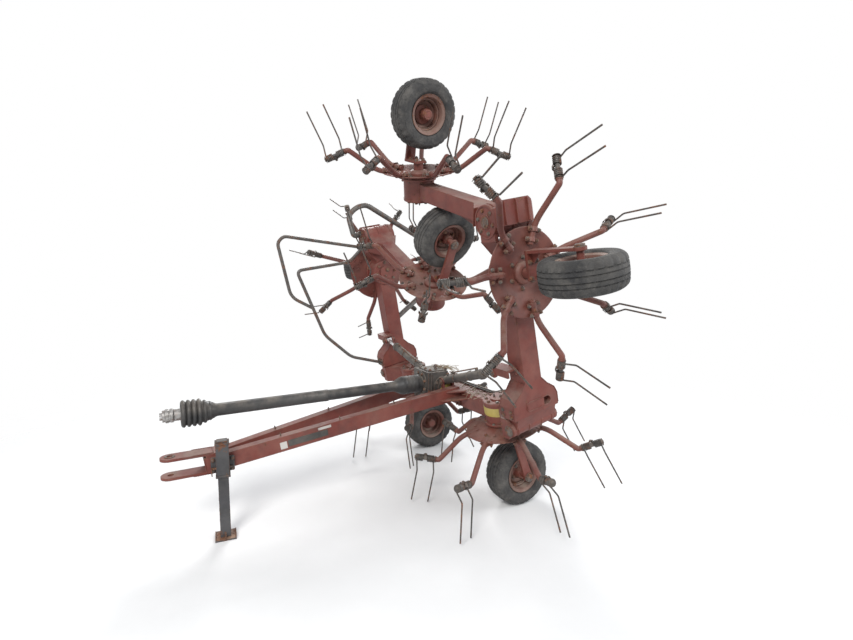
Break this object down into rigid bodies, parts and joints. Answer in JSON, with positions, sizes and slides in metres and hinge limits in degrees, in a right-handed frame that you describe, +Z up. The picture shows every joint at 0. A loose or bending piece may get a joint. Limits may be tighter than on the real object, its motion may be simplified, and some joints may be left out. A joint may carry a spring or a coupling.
{
  "type": "trailed hay tedder",
  "caption": "Trailed hay tedder with tined rotors on small wheels, its wings folded up over a drawbar and parking jack.",
  "frame": {"origin": "centre of the hitch pin's holes", "axes": "+Z up, -Y forwards along the drawbar, +X to the machine's left"},
  "size_m": [2.9826, 2.6166, 2.7166],
  "materials": {
    "red_paint": "faded",
    "dark_paint": "satin",
    "jack_steel": "worn",
    "bare_steel": "worn",
    "rod_chrome": "polished",
    "tine_steel": "dark",
    "rim_paint": "dusty",
    "tyre": "dusty",
    "guard_plastic": "matte"
  },
  "bodies": {
    "chassis": {"drawbar": "red_paint", "main_beam": "red_paint", "input_gearbox": "dark_paint", "inner_wheel_legs": "red_paint", "shaft_guard": "guard_plastic", "jack_sleeve": "jack_steel"},
    "jack": {"jack_leg": "jack_steel"},
    "drive_shaft": {"drive_shaft": "bare_steel"},
    "left_wing": {"left_wing_beam": "red_paint", "left_rod_ears": "red_paint"},
    "left_outer": {"left_outer_arm": "red_paint"},
    "left_cylinder": {"left_cylinder": "dark_paint"},
    "left_rod": {"left_cylinder_rod": "rod_chrome"},
    "rotor_left_inner": {"rotor_left_inner": "red_paint", "tines_left_inner": "tine_steel"},
    "wheel_left_inner": {"rim_left_inner": "rim_paint", "tyre_left_inner": "tyre"},
    "rotor_left_wing": {"rotor_left_wing": "red_paint", "tines_left_wing": "tine_steel"},
    "wheel_left_wing": {"rim_left_wing": "rim_paint", "tyre_left_wing": "tyre"},
    "rotor_left_outer": {"rotor_left_outer": "red_paint", "tines_left_outer": "tine_steel"},
    "wheel_left_outer": {"rim_left_outer": "rim_paint", "tyre_left_outer": "tyre"},
    "right_wing": {"right_wing_beam": "red_paint", "right_rod_ears": "red_paint", "right_wing_guards": "red_paint"},
    "right_outer": {"right_outer_arm": "red_paint"},
    "right_cylinder": {"right_cylinder": "dark_paint"},
    "right_rod": {"right_cylinder_rod": "rod_chrome"},
    "rotor_right_inner": {"rotor_right_inner": "red_paint", "tines_right_inner": "tine_steel"},
    "wheel_right_inner": {"rim_right_inner": "rim_paint", "tyre_right_inner": "tyre"},
    "rotor_right_wing": {"rotor_right_wing": "red_paint", "tines_right_wing": "tine_steel"},
    "wheel_right_wing": {"rim_right_wing": "rim_paint", "tyre_right_wing": "tyre"},
    "rotor_right_outer": {"rotor_right_outer": "red_paint", "tines_right_outer": "tine_steel"},
    "wheel_right_outer": {"rim_right_outer": "rim_paint", "tyre_right_outer": "tyre"}
  },
  "joints": [
    {"name": "left_wing_fold", "type": "hinge", "parent": "chassis", "child": "left_wing", "pos_m": [0.86, 1.81644, 0.21681], "axis": [0, -0.9781, -0.2079], "range_deg": [-89, 0]},
    {"name": "left_outer_fold", "type": "hinge", "parent": "left_wing", "child": "left_outer", "pos_m": [0.88007, 1.57738, 1.34151], "axis": [0, -0.9781, -0.2079], "range_deg": [-73, 0]},
    {"name": "left_cylinder_tilt", "type": "hinge", "parent": "chassis", "child": "left_cylinder", "pos_m": [0.131, 1.6916, 0.32318], "axis": [0, -0.9781, -0.2079], "range_deg": [-19, 1]},
    {"name": "left_rod_slide", "type": "slide", "parent": "left_cylinder", "child": "left_rod", "axis": [0.9601, -0.0581, 0.2735], "range_m": [-0.001, 0.391]},
    {"name": "rotor_left_inner_spin", "type": "hinge", "parent": "chassis", "child": "rotor_left_inner", "pos_m": [0.575, 1.83973, 0.10726], "axis": [0, -0.2079, 0.9781], "continuous": true},
    {"name": "wheel_left_inner_spin", "type": "hinge", "parent": "chassis", "child": "wheel_left_inner", "pos_m": [0.575, 1.95402, -0.214], "axis": [1, 0, 0], "continuous": true},
    {"name": "rotor_left_wing_spin", "type": "hinge", "parent": "left_wing", "child": "rotor_left_wing", "pos_m": [0.98708, 1.63703, 1.06087], "axis": [-0.9998, -0.0036, 0.0171], "continuous": true},
    {"name": "wheel_left_wing_spin", "type": "hinge", "parent": "left_wing", "child": "wheel_left_wing", "pos_m": [1.32503, 1.68227, 1.06445], "axis": [0.0175, -0.2079, 0.978], "continuous": true},
    {"name": "rotor_left_outer_spin", "type": "hinge", "parent": "left_outer", "child": "rotor_left_outer", "pos_m": [0.09202, 1.49966, 1.70716], "axis": [-0.309, 0.1977, -0.9303], "continuous": true},
    {"name": "wheel_left_outer_spin", "type": "hinge", "parent": "left_outer", "child": "wheel_left_outer", "pos_m": [0.19646, 1.47684, 2.03095], "axis": [-0.9511, -0.0642, 0.3023], "continuous": true},
    {"name": "right_wing_fold", "type": "hinge", "parent": "chassis", "child": "right_wing", "pos_m": [-0.86, 1.81644, 0.21681], "axis": [0, 0.9781, 0.2079], "range_deg": [-94, 0]},
    {"name": "right_outer_fold", "type": "hinge", "parent": "right_wing", "child": "right_outer", "pos_m": [-0.77978, 1.57792, 1.33894], "axis": [0, 0.9781, 0.2079], "range_deg": [-117, 0]},
    {"name": "right_cylinder_tilt", "type": "hinge", "parent": "chassis", "child": "right_cylinder", "pos_m": [-0.131, 1.6916, 0.32318], "axis": [0, 0.9781, 0.2079], "range_deg": [-19, 1]},
    {"name": "right_rod_slide", "type": "slide", "parent": "right_cylinder", "child": "right_rod", "axis": [-0.9612, -0.0574, 0.2699], "range_m": [-0.001, 0.419]},
    {"name": "rotor_right_inner_spin", "type": "hinge", "parent": "chassis", "child": "rotor_right_inner", "pos_m": [-0.575, 1.83973, 0.10726], "axis": [0, -0.2079, 0.9781], "continuous": true},
    {"name": "wheel_right_inner_spin", "type": "hinge", "parent": "chassis", "child": "wheel_right_inner", "pos_m": [-0.575, 1.95402, -0.214], "axis": [-1, 0, 0], "continuous": true},
    {"name": "rotor_right_wing_spin", "type": "hinge", "parent": "right_wing", "child": "rotor_right_wing", "pos_m": [-0.91139, 1.63541, 1.06849], "axis": [0.9976, 0.0145, -0.0682], "continuous": true},
    {"name": "wheel_right_wing_spin", "type": "hinge", "parent": "right_wing", "child": "wheel_right_wing", "pos_m": [-1.24856, 1.67452, 1.10091], "axis": [0.0698, -0.2074, 0.9758], "continuous": true},
    {"name": "rotor_right_outer_spin", "type": "hinge", "parent": "right_outer", "child": "rotor_right_outer", "pos_m": [0.01935, 1.65059, 0.99707], "axis": [-0.515, 0.1782, -0.8384], "continuous": true},
    {"name": "wheel_right_outer_spin", "type": "hinge", "parent": "right_outer", "child": "wheel_right_outer", "pos_m": [0.19344, 1.63437, 1.28982], "axis": [0.8572, 0.1071, -0.5038], "continuous": true},
    {"name": "drive_shaft_spin", "type": "hinge", "parent": "chassis", "child": "drive_shaft", "pos_m": [0, 0, 0.288], "axis": [0, 1, 0], "continuous": true},
    {"name": "jack_slide", "type": "slide", "parent": "chassis", "child": "jack", "axis": [0, 0, 1], "range_m": [0, 0.25]}
  ],
  "couplings": [
    {"joint": "left_outer_fold", "follows": "left_wing_fold", "ratio": 0.82022},
    {"joint": "left_cylinder_tilt", "follows": "left_wing_fold", "ratio": 0.19485},
    {"joint": "left_rod_slide", "follows": "left_wing_fold", "m_per_rad": -0.25031},
    {"joint": "rotor_left_wing_spin", "follows": "rotor_left_inner_spin", "ratio": -1},
    {"joint": "rotor_left_outer_spin", "follows": "rotor_left_inner_spin", "ratio": 1},
    {"joint": "right_wing_fold", "follows": "left_wing_fold", "ratio": 1.0562},
    {"joint": "right_outer_fold", "follows": "left_wing_fold", "ratio": 1.3146},
    {"joint": "right_cylinder_tilt", "follows": "left_wing_fold", "ratio": 0.19237},
    {"joint": "right_rod_slide", "follows": "left_wing_fold", "m_per_rad": -0.26872},
    {"joint": "rotor_right_inner_spin", "follows": "rotor_left_inner_spin", "ratio": -1},
    {"joint": "rotor_right_wing_spin", "follows": "rotor_left_inner_spin", "ratio": 1},
    {"joint": "rotor_right_outer_spin", "follows": "rotor_left_inner_spin", "ratio": -1},
    {"joint": "drive_shaft_spin", "follows": "rotor_left_inner_spin", "ratio": 3}
  ]
}
